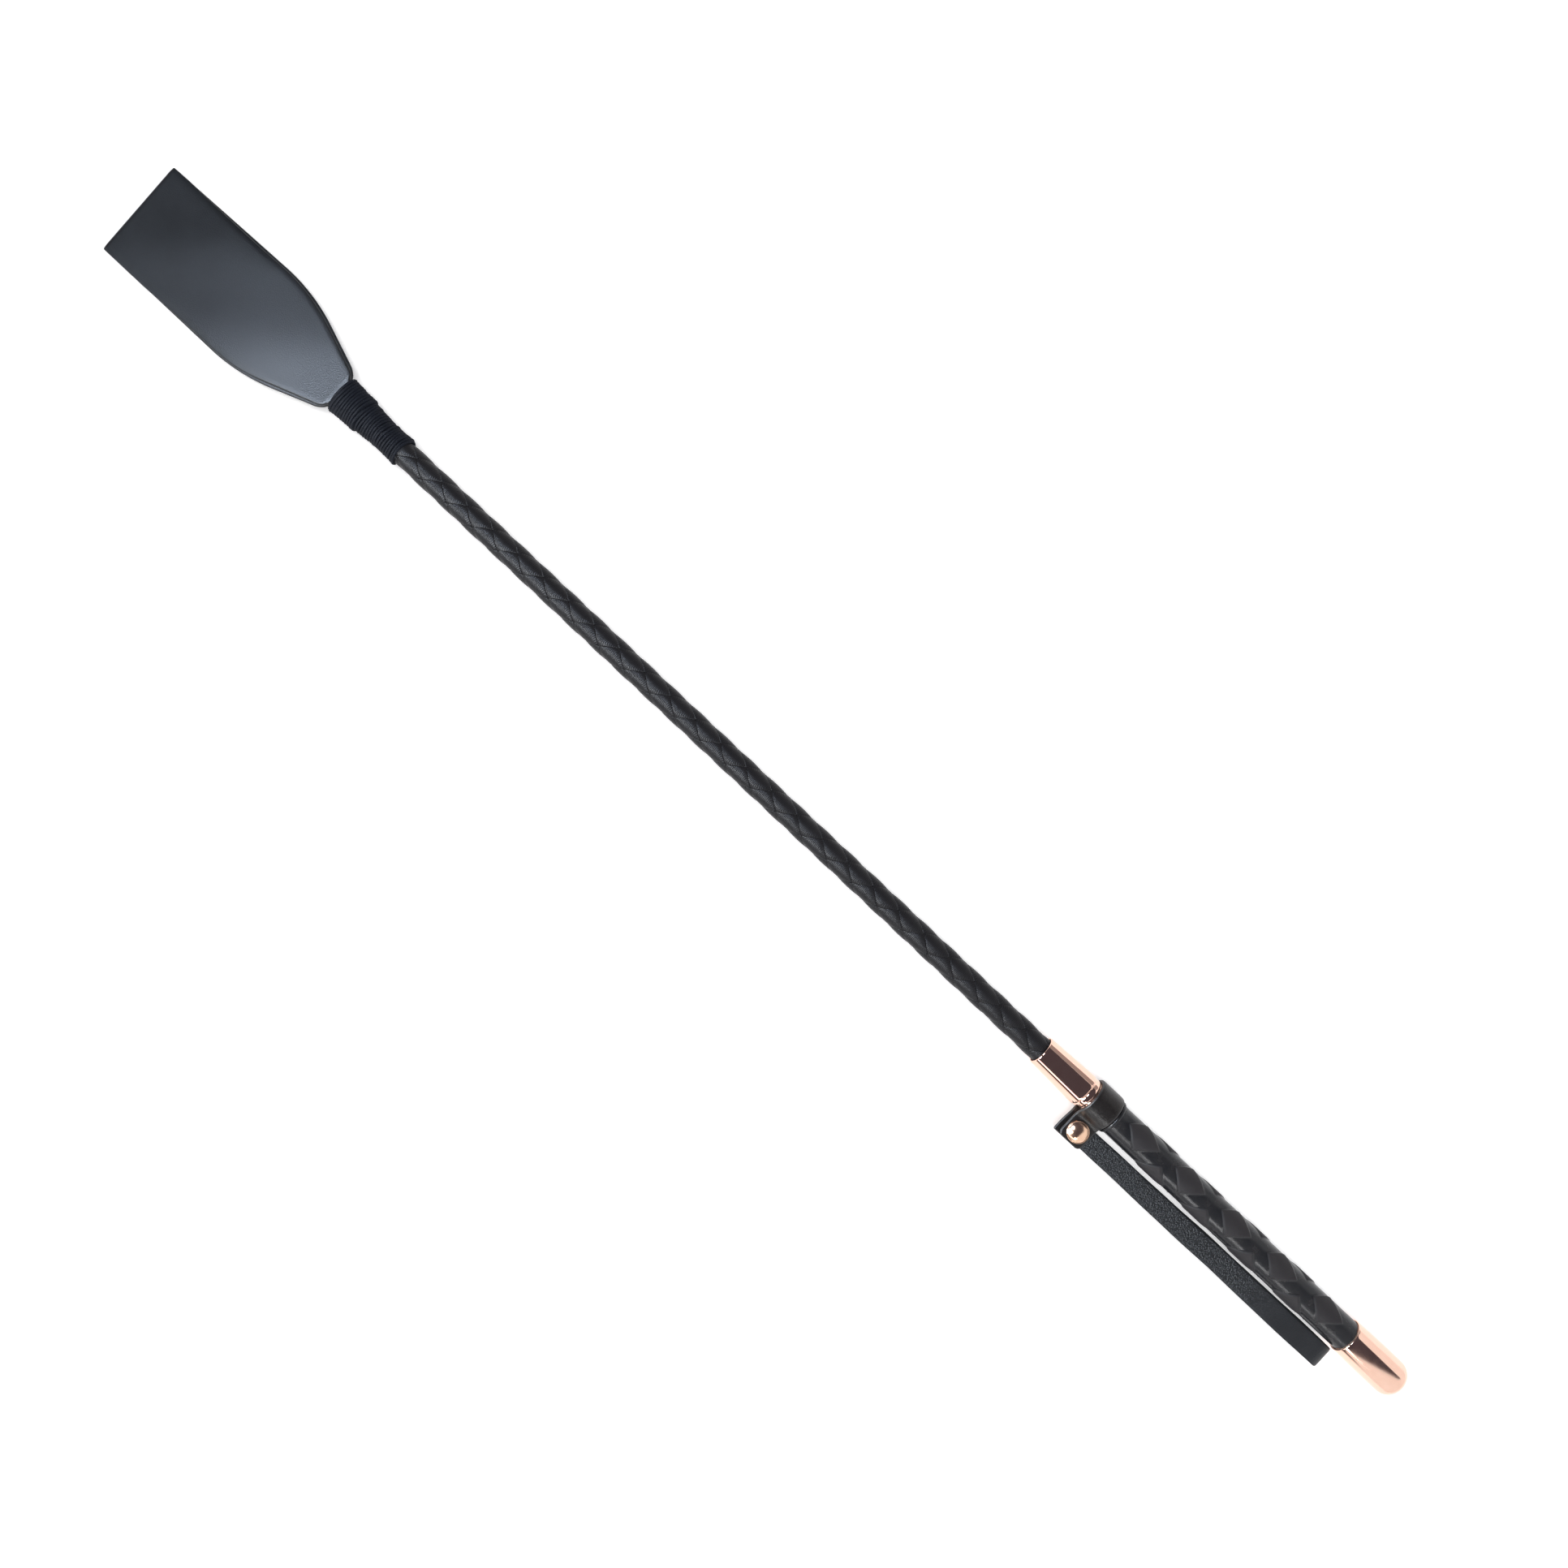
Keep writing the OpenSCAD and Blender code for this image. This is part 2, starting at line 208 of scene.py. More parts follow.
def strip(place, direction, reach, thickness, edge, columns, to_space):
    """A leather strip: a closed cross-section with rounded edges that follows a path in
    a plane. reach is how far it goes to either side. Returns points, quads, skin and
    which quads are the cut edge."""
    side = np.linspace(-1, 1, columns)
    turn = np.radians(np.linspace(90, -90, 9))[1:-1]
    rows = len(place)
    run = np.concatenate(
        [[0], np.cumsum(np.linalg.norm(np.diff(place, axis=0), axis=1))]
    )
    half = thickness[:, None] / 2
    low, high = reach[:, :1], reach[:, 1:]
    flat = np.where(side < 0, side * (low - edge), side * (high - edge))
    from_edge = np.minimum(flat + low, high - flat) - edge
    crown = half * (1 - 0.16 * np.exp(-np.maximum(from_edge, 0) / 0.45))
    right = high - edge + edge * np.cos(turn)
    left = -(low - edge) + edge * np.cos(math.pi - turn)
    bulge = half * (0.84 + 0.06 * np.cos(turn))
    across = np.concatenate([flat, right, flat[:, ::-1], left], axis=1)
    up = np.concatenate(
        [crown, bulge * np.sin(turn), -crown[:, ::-1], -bulge * np.sin(turn)], axis=1
    )
    normal = np.stack([-direction[:, 1], direction[:, 0]], axis=1)
    in_plane = place[:, None, :] + normal[:, None, :] * up[..., None]
    points = to_space(in_plane, across)
    skin = np.stack([np.broadcast_to(run[:, None], across.shape), across, up], axis=-1)
    kinds = np.zeros(across.shape[1], bool)
    kinds[columns - 1 : columns + len(turn)] = True
    kinds[2 * columns + len(turn) - 1 :] = True
    paint = np.broadcast_to(kinds, (rows - 1, across.shape[1]))
    return points, grid_quads(rows, across.shape[1]), skin, paint


def rounded_ends(stations, length, thickness, edge):
    """Thickness along a strip whose two ends are rounded off."""
    inward = np.minimum(stations, length - stations)
    return thickness * np.sqrt(1 - (1 - np.clip(inward / edge, 0, 1)) ** 2)


# ---------------------------------------------------------------- materials


class Nodes:
    """Short ways to add and join the nodes of a material, or of the world."""

    def __init__(
        self,
        owner,
        shader="ShaderNodeBsdfPrincipled",
        out="ShaderNodeOutputMaterial",
    ):
        if isinstance(owner, str):
            owner = bpy.data.materials.new(owner)
        self.material = owner
        owner.use_nodes = True
        self.tree = owner.node_tree
        self.tree.nodes.clear()
        self.out = self.tree.nodes.new(out)
        self.shader = self.tree.nodes.new(shader)
        self.join(self.shader.outputs[0], self.out.inputs["Surface"])

    def join(self, source, target):
        self.tree.links.new(source, target)

    def add(self, kind, inputs=(), **settings):
        node = self.tree.nodes.new(kind)
        for key, value in settings.items():
            setattr(node, key, value)
        for key, value in dict(inputs).items():
            if isinstance(value, bpy.types.NodeSocket):
                self.join(value, node.inputs[key])
            else:
                node.inputs[key].default_value = value
        return node

    def skin(self):
        """The place on the unrolled strip, which stays put when the strip bends."""
        return self.add("ShaderNodeAttribute", attribute_name="skin").outputs["Vector"]

    def place(self):
        return self.add("ShaderNodeTexCoord").outputs["Object"]

    def stretched(self, source, scale):
        node = self.add("ShaderNodeMapping", {"Vector": source, "Scale": scale})
        return node.outputs["Vector"]

    def noise(self, source, scale, detail=3.0, roughness=0.55):
        inputs = {"Vector": source, "Scale": scale, "Detail": detail}
        inputs["Roughness"] = roughness
        return self.add("ShaderNodeTexNoise", inputs).outputs["Fac"]

    def cells(self, source, scale, feature="DISTANCE_TO_EDGE", randomness=1.0):
        inputs = {"Vector": source, "Scale": scale, "Randomness": randomness}
        node = self.add("ShaderNodeTexVoronoi", inputs, feature=feature)
        return node.outputs["Distance"]

    def fit(self, source, low, high, to_low, to_high, smoothed=False):
        inputs = {
            "Value": source,
            "From Min": low,
            "From Max": high,
            "To Min": to_low,
            "To Max": to_high,
        }
        kind = "SMOOTHSTEP" if smoothed else "LINEAR"
        node = self.add("ShaderNodeMapRange", inputs, interpolation_type=kind)
        return node.outputs["Result"]

    def sum(self, a, b, operation="ADD"):
        node = self.add("ShaderNodeMath", {0: a, 1: b}, operation=operation)
        return node.outputs["Value"]

    def blend(self, share, first, second):
        node = self.add("ShaderNodeMix", {"Factor": share}, data_type="RGBA")
        for socket, colour in (("A", first), ("B", second)):
            target = [s for s in node.inputs if s.name == socket and s.type == "RGBA"][0]
            if isinstance(colour, bpy.types.NodeSocket):
                self.join(colour, target)
            else:
                target.default_value = (*colour, 1)
        return [s for s in node.outputs if s.type == "RGBA"][0]

    def bump(self, height, distance, strength=1.0, under=None):
        inputs = {"Height": height, "Distance": distance, "Strength": strength}
        if under is not None:
            inputs["Normal"] = under
        return self.add("ShaderNodeBump", inputs).outputs["Normal"]

    def set(self, **values):
        for key, value in values.items():
            socket = self.shader.inputs[key.replace("_", " ")]
            if isinstance(value, bpy.types.NodeSocket):
                self.join(value, socket)
            elif isinstance(value, tuple) and len(value) == 3:
                socket.default_value = (*value, 1)
            else:
                socket.default_value = value
        return self.material


def leather(name, dark, light, rough, cell, depth, stretch=(1, 1, 1), crease_shade=0.5, worn=False):
    """Finished leather: small rounded pebbles with creases between them. cell is the
    pebbles' size and depth their height, in millimetres. The argument after stretch sets how
    much darker the creases are painted, as painted shade in them, and worn lets a piece's
    share flatten the pebbles and fade that painted shade."""
    n = Nodes(name)
    skin = n.skin()
    warp = n.add("ShaderNodeTexNoise", {"Vector": skin, "Scale": 500.0, "Detail": 2.0})
    bent = n.add("ShaderNodeVectorMath", {0: warp.outputs["Color"]}, operation="SCALE")
    bent.inputs["Scale"].default_value = 0.5 * cell * MM
    moved = n.add("ShaderNodeVectorMath", {0: skin, 1: bent.outputs["Vector"]}, operation="ADD")
    laid = n.stretched(moved.outputs["Vector"], stretch)
    pebble = n.fit(n.cells(laid, 1 / (cell * MM), "F1"), 0.12, 0.72, 1.0, 0.0, smoothed=True)
    fine = n.noise(laid, 2.6 / (cell * MM), 3.0)
    wander = n.noise(skin, 60.0, 3.0)
    height = n.sum(pebble, n.sum(fine, 0.35, "MULTIPLY"))
    if worn:
        left = n.add("ShaderNodeAttribute", attribute_name="share").outputs["Fac"]
        height = n.sum(height, left, "MULTIPLY")
        # where the pebbles are flattened, their painted crease shade fades as well
        pebble = n.blend(left, (0.85, 0.85, 0.85), pebble)
    # painted shade: the creases between the pebbles are darkened, as if shade fell in them
    creases = n.fit(pebble, 0, 1, 1 - crease_shade, 1.0)
    tone = n.sum(n.fit(wander, 0.3, 0.7, 0.5, 1.0), creases, "MULTIPLY")
    gloss = n.fit(n.sum(wander, fine), 0.7, 1.3, rough - 0.02, rough + 0.03)
    return n.set(
        Base_Color=n.blend(tone, dark, light),
        Roughness=gloss,
        Normal=n.bump(height, depth * MM),
        Specular_IOR_Level=0.45,
    )


def edge_paint(name, shine):
    """The black paint on a cut leather edge: a slightly lumpy semi-gloss film."""
    n = Nodes(name)
    lumps = n.noise(n.stretched(n.skin(), (0.5, 1, 1)), 900.0, 2.0)
    colour = n.blend(n.noise(n.skin(), 150.0), (0.008, 0.009, 0.010), (0.016, 0.017, 0.020))
    return n.set(
        Base_Color=colour,
        Roughness=n.fit(lumps, 0.3, 0.7, 0.4, 0.55),
        Normal=n.bump(lumps, 0.05 * MM),
        Specular_IOR_Level=shine,
    )


def plait_material():
    """Black faux leather of the strands: polished on the ribs, with painted shade darkening the
    grooves between them.
    """
    n = Nodes("plait_strand")
    rib = n.add("ShaderNodeAttribute", attribute_name="share").outputs["Fac"]
    place = n.place()
    wander = n.noise(place, 90.0, 2.0)
    pores = n.noise(place, 5200.0, 2.0)
    crest = n.blend(wander, (0.013, 0.0125, 0.015), (0.021, 0.020, 0.024))
    # painted shade: the grooves between the ribs take a darker colour than the crests
    colour = n.blend(n.fit(rib, 0.1, 0.9, 0.0, 1.0), (0.009, 0.009, 0.010), crest)
    gloss = n.fit(n.sum(rib, n.sum(pores, 0.3, "MULTIPLY")), 0.0, 1.2, 0.55, 0.27)
    return n.set(
        Base_Color=colour,
        Roughness=gloss,
        Normal=n.bump(pores, 0.03 * MM),
        Specular_IOR_Level=0.2,
    )


def thread_material(name, dark, light):
    """Waxed twisted thread, with fibres along each ply."""
    n = Nodes(name)
    skin = n.skin()
    fibres = n.noise(n.stretched(skin, (0.35, 1, 1)), 9000.0, 2.0)
    wander = n.noise(skin, 140.0, 2.0)
    colour = n.blend(n.sum(fibres, wander, "MULTIPLY"), dark, light)
    return n.set(
        Base_Color=colour,
        Roughness=n.fit(fibres, 0.3, 0.7, 0.45, 0.65),
        Normal=n.bump(fibres, 0.08 * MM),
        Specular_IOR_Level=0.12,
    )


def polished(name, colour, deep, rough):
    """Plated, polished metal with faint cloudiness and hairline polishing marks."""
    n = Nodes(name)
    place = n.place()
    cloud = n.noise(place, 260.0, 3.0)
    hairs = n.noise(n.stretched(place, (0.08, 1, 1)), 7000.0, 1.0)
    wear = n.sum(cloud, n.sum(hairs, 0.5, "MULTIPLY"))
    return n.set(
        Base_Color=n.blend(n.fit(cloud, 0.3, 0.7, 0.0, 1.0), deep, colour),
        Metallic=1.0,
        Roughness=n.fit(wear, 0.4, 1.0, rough, rough * 1.8),
        Normal=n.bump(hairs, 0.0006 * MM),
    )


def rubber_material():
    """Moulded rubber: matt raised diamonds, and a glossier lattice between them."""
    n = Nodes("grip_rubber")
    pad = n.add("ShaderNodeAttribute", attribute_name="share").outputs["Fac"]
    place = n.place()
    grain = n.noise(place, 3600.0, 3.0)
    mottle = n.noise(place, 220.0, 3.0)
    colour = n.blend(pad, (0.015, 0.016, 0.019), (0.021, 0.0185, 0.021))
    dusty = n.blend(n.fit(mottle, 0.45, 0.75, 0.0, 0.5), colour, (0.034, 0.032, 0.033))
    gloss = n.sum(n.fit(pad, 0.1, 0.6, 0.24, 0.66), n.fit(mottle, 0.3, 0.7, -0.03, 0.05))
    return n.set(
        Base_Color=dusty,
        Roughness=gloss,
        Normal=n.bump(grain, 0.03 * MM),
        Specular_IOR_Level=0.35,
    )


def plain_material(name, dark, light, rough, scale=400.0, metallic=0.0, stretch=(1, 1, 1)):
    """A plain moulded, drawn or wound surface with fine grain."""
    n = Nodes(name)
    place = n.stretched(n.place(), stretch)
    grain = n.noise(place, scale, 3.0)
    return n.set(
        Base_Color=n.blend(grain, dark, light),
        Metallic=metallic,
        Roughness=n.fit(grain, 0.3, 0.7, rough - 0.06, rough + 0.06),
        Normal=n.bump(grain, 0.03 * MM),
    )


flapper_grain = leather(
    "flapper_leather",
    (0.003, 0.0034, 0.0043),
    (0.006, 0.0068, 0.0085),
    rough=0.32,
    cell=0.42,
    depth=0.019,
)
strap_grain = leather(
    "strap_leather",
    (0.003, 0.0038, 0.0056),
    (0.015, 0.0175, 0.0225),
    rough=0.47,
    cell=0.66,
    depth=0.20,
    stretch=(1.5, 0.85, 1),
    crease_shade=0.85,
    worn=True,
)
collar_grain = leather(
    "collar_leather",
    (0.008, 0.007, 0.007),
    (0.019, 0.016, 0.0155),
    rough=0.30,
    cell=0.42,
    depth=0.025,
    crease_shade=0.6,
)
painted_edge = edge_paint("painted_edge", 0.2)
glossy_edge = edge_paint("glossy_edge", 0.8)
rose_gold = polished("rose_gold", (0.98, 0.66, 0.53), (0.95, 0.62, 0.49), 0.055)
rivet_gold = polished("rivet_gold", (0.93, 0.62, 0.44), (0.88, 0.57, 0.40), 0.14)
plait_black = plait_material()
thread_black = thread_material("whipping_thread", (0.003, 0.004, 0.007), (0.021, 0.025, 0.040))


# ---------------------------------------------------------------- camera


camera_data = bpy.data.cameras.new("camera")
camera_data.sensor_width = 36
camera_data.lens = 28.73
camera_data.clip_start = 0.01
camera = bpy.data.objects.new("camera", camera_data)
bpy.context.scene.collection.objects.link(camera)
# straight down, with the crop lying across the picture from top left to bottom right
right, up = (0.7296, 0.6839, 0), (-0.6839, 0.7296, 0)
camera_x, camera_y, above_axis = 0.00295, 0.0065, 0.443
camera.matrix_world = Matrix(
    (
        (right[0], up[0], 0, camera_x),
        (right[1], up[1], 0, camera_y),
        (right[2], up[2], 1, AXIS_Z * MM + above_axis),
        (0, 0, 0, 1),
    )
)
bpy.context.scene.camera = camera


# ---------------------------------------------------------------- flapper


def make_flapper():
    """One strip from its upper tail, out over the upper leaf, round the fold and back."""
    droop = math.radians(3.35)
    hinge_x = TAILS[0][0] - 0.98
    tip_u = (FLAPPER[0][0] - hinge_x) / math.cos(droop)
    leaf_t, leaf_z, fold_r = 1.5, 0.85, 0.85
    fold_u = tip_u + fold_r + leaf_t / 2

    def local(u, n):
        x = hinge_x + u * math.cos(droop) - n * math.sin(droop)
        return x, AXIS_Z + u * math.sin(droop) + n * math.cos(droop)

    def leaf(u, sign):
        """Middle of a leaf. The upper one bows a little away from the lower."""
        t = np.clip(u / fold_u, 0, 1)
        return leaf_z + (0.12 if sign > 0 else 0) * math.sin(math.pi * t) ** 2

    tail_end = TAILS[1][0] + 0.4
    rod_tip_x = box_mm("core_rod")[0][0]
    upper, lower = [], []
    for x in np.linspace(tail_end, hinge_x + 2.2, 20):
        rod = 0.9 + 1.6 * min(max((x - rod_tip_x) / 15, 0), 1)
        lift = 0.8 + (rod - 0.3) * float(smooth((x - hinge_x - 1) / 7))
        upper.append((x, AXIS_Z + lift))
        lower.append((x, AXIS_Z - lift))
    for u in np.linspace(0, fold_u, 90):
        upper.append(local(u, leaf(u, 1)))
        lower.append(local(u, -leaf(u, -1)))
    turn = [
        local(fold_u - fold_r * math.sin(a), fold_r * math.cos(a))
        for a in np.linspace(0, math.pi, 25)[1:-1]
    ]
    path = upper + turn + lower[::-1]
    length = path_length(path)
    upper_length = path_length(upper + turn[: len(turn) // 2])
    edge = 0.5
    # closer together round the fold, and at the hinge on both leaves
    by_fold = np.linspace(upper_length - 4, upper_length + 4, 60)
    by_hinge = np.linspace(tail_end - hinge_x - 4, tail_end - hinge_x + 4, 40)
    stations = [stations_for(length, 0.9, edge), by_fold, by_hinge, length - by_hinge]
    stations = np.unique(np.concatenate(stations))
    place, direction = along(path, stations)
    u = (place[:, 0] - hinge_x) / math.cos(droop)
    on_top = 1 - smooth((stations - upper_length + 1.5) / 3)
    half = outline_half_width(u, tip_u)
    # the upper leaf is cut a little narrower, so the lower one shows past it
    body = smooth((u - tip_u - 6) / 26) * smooth((2 - u) / 6)
    inset_high = on_top * body * (0.75 + waves(u, 3, 0.12, (31, 47)))
    inset_low = on_top * body * (0.72 + waves(u, 4, 0.14, (27, 53)))
    inset_low = inset_low * smooth((u - tip_u - 18) / 30)
    reach = np.stack([half - inset_low, half - inset_high], axis=1)
    # the tails are pared thin and wrapped round the rod
    bound = smooth((place[:, 0] - hinge_x - 1.2) / 5)
    thickness = rounded_ends(stations, length, leaf_t, edge) * (1 - 0.5 * bound)

    def to_space(in_plane, across):
        x, z = in_plane[..., 0], in_plane[..., 1]
        radius = np.maximum(np.abs(z - AXIS_Z), 0.3)
        wrapped = np.clip(across / radius, -1.5, 1.5)
        share = bound[:, None]
        z = z + share * (np.sign(z - AXIS_Z) * radius * np.cos(wrapped) + AXIS_Z - z)
        across = across + share * (radius * np.sin(wrapped) - across)
        out = np.clip((hinge_x - x) / -tip_u, 0, 1)
        # the upper leaf is crowned; the strip leans sideways and its fold is askew
        crown = 0.55 * np.sin(math.pi * out) ** 1.2 * (1 - (across / 20) ** 2)
        wander = 0.12 * np.sin(out * 9 + across / 7)
        z = z + on_top[:, None] * (crown + wander * np.sin(math.pi * out))
        y = across - 1.1 * out**1.5
        x = x - across * math.tan(math.radians(2.2)) * smooth((out - 0.3) / 0.7)
        return np.stack([x, y, z], axis=-1)

    points, quads, skin, paint = strip(
        place, direction, reach, thickness, edge, 34, to_space
    )
    piece = make_piece(
        "flapper_strip",
        points,
        quads,
        [flapper_grain, painted_edge],
        "flapper",
        "flapper_leather",
        ["flapper", "flapper_tails"],
        skin=skin,
        paint=paint,
        rides=False,
    )
    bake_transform(piece)


def outline_half_width(u, tip_u):
    """Half width of the flapper at a distance u from the hinge: narrow tails, straight
    shoulders, an arc into the sides, and sides that taper to the fold."""
    widest_u, widest, tip = -44.0, FLAPPER[1][1], 19.3
    shoulder, shoulder_r = math.radians(20), 75.0
    arc_start = widest_u + shoulder_r * math.sin(shoulder)
    arc_half = widest - shoulder_r * (1 - math.cos(shoulder))
    side = tip + (widest - tip) * (u - tip_u) / (widest_u - tip_u)
    inside = np.clip((u - widest_u) / shoulder_r, -1, 1)
    rounded = widest - shoulder_r * (1 - np.sqrt(1 - inside**2))
    straight = arc_half - (u - arc_start) * math.tan(shoulder)
    half = np.where(u < widest_u, side, np.where(u < arc_start, rounded, straight))
    # the corners by the whipping are rounded, and the cut turns in there to the tails
    half = half - 0.8 * np.clip((u + 3) / 3, 0, 1.6) ** 2
    tails = 5.6 - 1.2 * smooth((u - 2) / 8)
    return half + (tails - half) * smooth((u - 0.1) / 2.4)


make_flapper()


# ---------------------------------------------------------------- whipping


def make_whipping(name, start_x, end_x, start_half, end_half, cone_end, pitch, node, seed):
    """Turns of three-ply thread laid side by side over an oval that becomes round."""
    thread_r = 0.54
    turns = (end_x - start_x - 2 * thread_r) / pitch
    per_turn = 132
    t = np.linspace(0, turns, int(turns * per_turn))
    angle = TAU * t + seed
    x = start_x + thread_r + pitch * t
    x = x + waves(t, seed + 1, 0.07, (1.9, 2.7, 0.83)) + 0.14 * np.sin(2 * angle + 0.6 * t)
    round_share = np.clip((x - start_x) / cone_end, 0, 1)[:, None]
    half = np.array(start_half) * (1 - round_share) + np.array(end_half) * round_share
    lift = waves(t, seed + 2, 0.09, (1.3, 2.1, 0.61)) + 0.22 * smooth((t - turns + 3.2) / 0.6)
    tuck = 1.2 * (smooth((0.35 - t) / 0.35) + smooth((t - turns + 0.35) / 0.35))
    radius = half - thread_r + (lift - tuck)[:, None]
    line = np.stack(
        [x, radius[:, 0] * np.sin(angle), AXIS_Z + radius[:, 1] * np.cos(angle)], axis=1
    )
    tangent = np.gradient(line, axis=0)
    tangent /= np.linalg.norm(tangent, axis=1, keepdims=True)
    outward = np.stack([0 * x, np.sin(angle) / half[:, 0], np.cos(angle) / half[:, 1]], 1)
    outward -= tangent * (outward * tangent).sum(1, keepdims=True)
    outward /= np.linalg.norm(outward, axis=1, keepdims=True)
    sideways = np.cross(tangent, outward)
    run = np.concatenate([[0], np.cumsum(np.linalg.norm(np.diff(line, axis=0), axis=1))])
    ring = TAU * np.arange(14) / 14
    twist = TAU * run[:, None] / 2.6
    lobes = 1 + 0.15 * np.cos(3 * (ring[None, :] - twist))
    # the ends shrink to a point inside the binding
    taper = np.sqrt(np.clip(np.minimum(run, run[-1] - run) / 0.6, 0, 1))
    size = (thread_r * 0.93 * taper)[:, None] * lobes
    points = (
        line[:, None, :]
        + size[..., None] * np.cos(ring)[None, :, None] * outward[:, None, :]
        + size[..., None] * np.sin(ring)[None, :, None] * sideways[:, None, :] * 1.06
    )
    skin = np.stack(
        [
            np.broadcast_to(run[:, None], size.shape),
            np.cos(ring - twist) * thread_r,
            np.sin(ring - twist) * thread_r,
        ],
        axis=-1,
    )
    make_piece(
        name,
        points,
        grid_quads(len(t), len(ring)),
        [thread_black],
        "crop",
        "whipping_thread",
        [node],
        skin=skin,
    )


make_whipping(
    "whipping_turns",
    WHIP[0][0],
    WHIP[1][0],
    start_half=(WHIP[1][1], 3.9),
    end_half=(PLAIT_R + 0.78, PLAIT_R + 0.78),
    cone_end=21,
    pitch=1.08,
    node="whipping",
    seed=1,
)
make_whipping(
    "whipping_over_turns",
    WHIP_OVER[0][0],
    WHIP_OVER[1][0],
    start_half=(7.4, 4.5),
    end_half=(6.5, 5.33),
    cone_end=12.8,
    pitch=1.12,
    node="whipping_over",
    seed=5,
)


# ---------------------------------------------------------------- plait


def make_plait():
    """Six flat strands, three turning each way, each over one and under the next. Every
    strand is gathered into fine ribs that cross it at right angles to the crop."""
    lead = 36.6
    first_facet_x, first_facet_angle = -29.15, math.radians(23)
    start_x, end_x = PLAIT[0][0] + 1, PLAIT[1][0] - 1
    half_span = math.radians(62.5)
    strand_t, power, rib_pitch, rib_h = 0.62, 0.55, 0.62, 0.105
    middle_r = PLAIT_R + 0.02 - strand_t
    top = np.linspace(-1, 1, 17)
    bottom = np.linspace(1, -1, 6)[1:-1]
    side = np.concatenate([np.sign(top) * np.abs(top) ** 0.85, bottom])
    on_top = np.concatenate([np.ones(len(top)), -np.ones(len(bottom))])
    rows = int((end_x - start_x) / rib_pitch * 4)
    row_x = np.linspace(start_x, end_x, rows)
    for way in (1, -1):
        for strand in range(3):
            beta = half_span * side[None, :]
            # ribs lean a little and hook forward beside the strand's leading edge
            hook = 0.8 * smooth((np.abs(side) - 0.55) / 0.45)[None, :] * way
            lean = way * math.tan(math.radians(7)) * PLAIT_R * beta
            x = row_x[:, None] + lean - hook * np.sign(side)[None, :]
            turned = way * TAU * (x - first_facet_x) / lead
            angle = first_facet_angle + TAU * strand / 3 + turned + beta
            # place among the crossings: even ones carry the strands that turn one way
            crossing = 6 * (x - first_facet_x) / lead + way * 3 * beta / TAU
            own = np.abs(np.cos(math.pi * beta / 2 / math.radians(60)))
            other = way * np.cos(math.pi * crossing)
            lifted = np.sign(other) * np.abs(other) ** power
            thick = strand_t * np.clip(own, 0, 1) ** power
            thick = np.maximum(thick, 0.10)
            centre = middle_r + strand_t / 2 * lifted
            phase = row_x[:, None] / rib_pitch + 0.13 * strand
            rib = 0.5 + 0.5 * np.cos(TAU * phase)
            rib_share = rib * (1 - 0.35 * np.abs(side)[None, :] ** 6)
            height = rib_h * (rib_share - 0.5) * (on_top > 0)[None, :]
            radius = centre + on_top[None, :] * thick / 2 + height
            points = np.stack(
                [x, radius * np.sin(angle), AXIS_Z + radius * np.cos(angle)], axis=-1
            )
            # both ends are cut square and closed
            first, last = points[0].mean(0), points[-1].mean(0)
            ends = [np.broadcast_to(end, points[:1].shape) for end in (first, last)]
            points = np.concatenate([ends[0], points, ends[1]])
            # the rib share goes to the material, which paints shade in the grooves from it
            share = np.concatenate([0 * rib_share[:1], rib_share, 0 * rib_share[:1]])
            make_piece(
                f"plait_strand_{'a' if way > 0 else 'b'}{strand + 1}",
                points,
                grid_quads(rows + 2, len(side)),
                [plait_black],
                "crop",
                "plait",
                ["plaited_cover"],
                share=np.broadcast_to(share, points.shape[:2]),
            )


make_plait()


# ---------------------------------------------------------------- ferrule, end cap


def make_ferrule():
    x0, x1 = FERRULE[0][0], FERRULE[1][0]
    mouth_r, step_r = 5.65, FERRULE[1][1]
    step_x = COLLAR[0][0] - 2.8
    neck_r, bore_r, bush_r, lip = 6.0, 5.12, 5.55, 0.45
    shoulder_x = box_mm("ferrule_bush")[0][0] - 0.03
    profile = [(x0 + 0.5, bore_r)]
    profile += arc((x0 + lip, mouth_r - lip), (lip, lip), 200, 90, 8)
    profile += [
        (x0 + lip + (step_x - x0 - 2 * lip) * t, mouth_r + (step_r - mouth_r) * t)
        for t in np.linspace(0.04, 0.97, 16)
    ]
    profile += arc((step_x - lip, step_r - lip), (lip, lip), 88, 0, 8)
    profile += [(step_x, step_r - lip - 0.1)]
    # a rounded bead stands beside the step, and the neck runs on under the collar
    profile += arc((step_x + 0.12, neck_r + 0.02), (0.12, 0.12), 180, 270, 3)
    profile += [(step_x + 0.3, neck_r - 0.1)]
    profile += arc((step_x + 1.55, neck_r - 0.12), (1.15, 0.24), 180, 0, 12)
    profile += [(step_x + 2.75, neck_r - 0.1), (step_x + 2.9, neck_r - 0.03)]
    profile += [(x1 - 0.2, neck_r - 0.03), (x1, neck_r - 0.2), (x1, bush_r)]
    profile += [(shoulder_x, bush_r), (shoulder_x, bore_r), (x0 + 0.5, bore_r)]
    points, quads = lathe(profile, (0, AXIS_Z))
    make_piece("ferrule_polished", points, quads, [rose_gold], "crop", "rose_gold", ["ferrule"])


